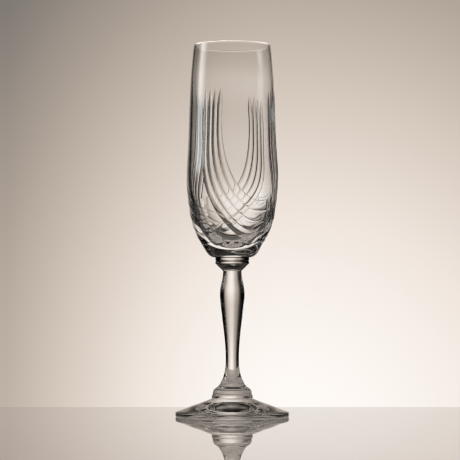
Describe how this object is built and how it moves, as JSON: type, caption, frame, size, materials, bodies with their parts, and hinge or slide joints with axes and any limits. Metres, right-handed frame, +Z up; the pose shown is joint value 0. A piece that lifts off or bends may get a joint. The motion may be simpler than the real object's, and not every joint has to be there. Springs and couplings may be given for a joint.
{
  "type": "champagne flute",
  "caption": "Tall stemmed glass for sparkling wine: narrow closing bowl with swags of wheel cuts, ring, baluster stem, stepped collar and cone foot.",
  "frame": {"origin": "centre of the foot's resting face, on the surface that the glass stands on", "axes": "+Z up along the glass's axis, from the foot to the rim; -Y is the front; the upright cuts of the first swag stand 14 to 41 degrees to the left of the middle there"},
  "size_m": [0.0642, 0.0642, 0.21],
  "materials": {
    "crystal": "clear crystal glass, polished, neutral with a trace of warmth",
    "cut_crystal": "clear crystal glass with polished wheel cuts, sharp ridges between them"
  },
  "bodies": {
    "root": {"foot": "crystal", "foot_collar": "crystal", "stem": "crystal", "merese": "crystal", "bowl": "cut_crystal"}
  },
  "joints": []
}
